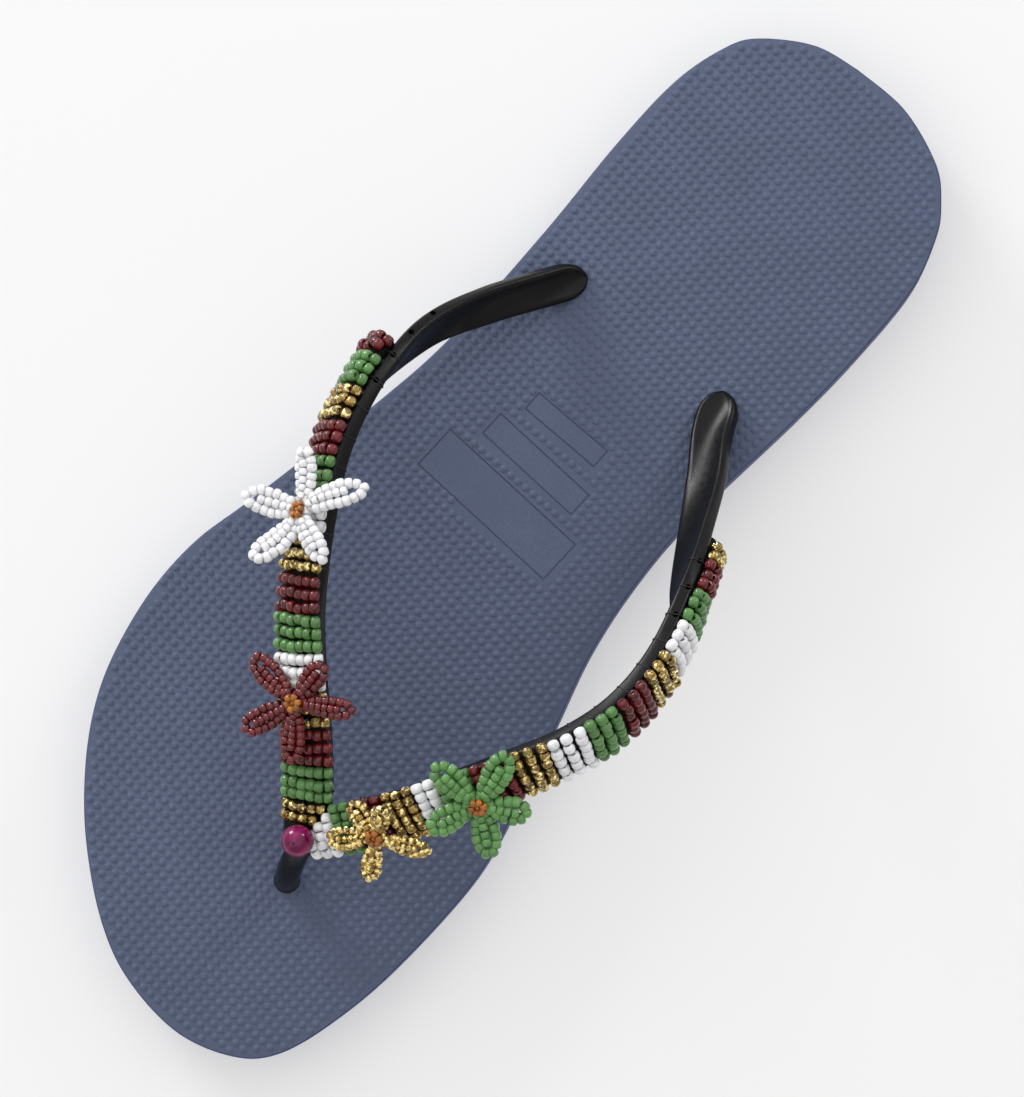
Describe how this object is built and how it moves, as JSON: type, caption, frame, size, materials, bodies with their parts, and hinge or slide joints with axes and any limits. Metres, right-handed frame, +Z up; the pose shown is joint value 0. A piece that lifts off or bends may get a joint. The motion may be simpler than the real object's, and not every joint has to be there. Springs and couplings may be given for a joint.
{
  "type": "flip-flop",
  "caption": "Right-foot flip-flop: flat foam rubber sole, moulded thong strap dressed with bands of seed beads, beaded flowers and a round toe bead.",
  "frame": {"origin": "on the ground under the middle of the sole", "axes": "+Z up from the ground, +Y towards the toe, +X towards the little-toe side"},
  "size_m": [0.1029, 0.2499, 0.067],
  "materials": {
    "foam": "matte closed-cell foam with a pimpled top",
    "strap": "satin moulded rubber",
    "bead_white": "opaque glossy glass beads",
    "bead_green": "opaque glossy glass beads",
    "bead_maroon": "opaque glossy glass beads",
    "bead_gold": "silver-lined glass beads",
    "bead_amber": "clear orange glass beads",
    "toe_bead": "polished banded stone"
  },
  "bodies": {
    "root": {"sole": "foam", "strap": "strap", "medial_band_01": "bead_white", "medial_band_02": "bead_green", "medial_band_03": "bead_maroon", "medial_band_04": "bead_gold", "medial_band_05": "bead_white", "medial_band_06": "bead_green", "medial_band_07": "bead_maroon", "medial_band_08": "bead_gold", "medial_band_09": "bead_white", "medial_band_10": "bead_green", "medial_band_11": "bead_maroon", "medial_band_12": "bead_gold", "medial_band_13": "bead_white", "medial_band_14": "bead_green", "medial_band_15": "bead_maroon", "medial_band_16": "bead_gold", "lateral_band_01": "bead_gold", "lateral_band_02": "bead_green", "lateral_band_03": "bead_maroon", "lateral_band_04": "bead_gold", "lateral_band_05": "bead_white", "lateral_band_06": "bead_green", "lateral_band_07": "bead_maroon", "lateral_band_08": "bead_gold", "lateral_band_09": "bead_white", "lateral_band_10": "bead_green", "lateral_band_11": "bead_maroon", "lateral_band_12": "bead_gold", "lateral_band_13": "bead_green", "lateral_band_14": "bead_maroon", "flower_gold": "bead_gold", "flower_centre_gold": "bead_amber", "flower_green": "bead_green", "flower_centre_green": "bead_amber", "flower_maroon": "bead_maroon", "flower_centre_maroon": "bead_amber", "flower_white": "bead_white", "flower_centre_white": "bead_amber", "toe_bead": "toe_bead"}
  },
  "joints": []
}
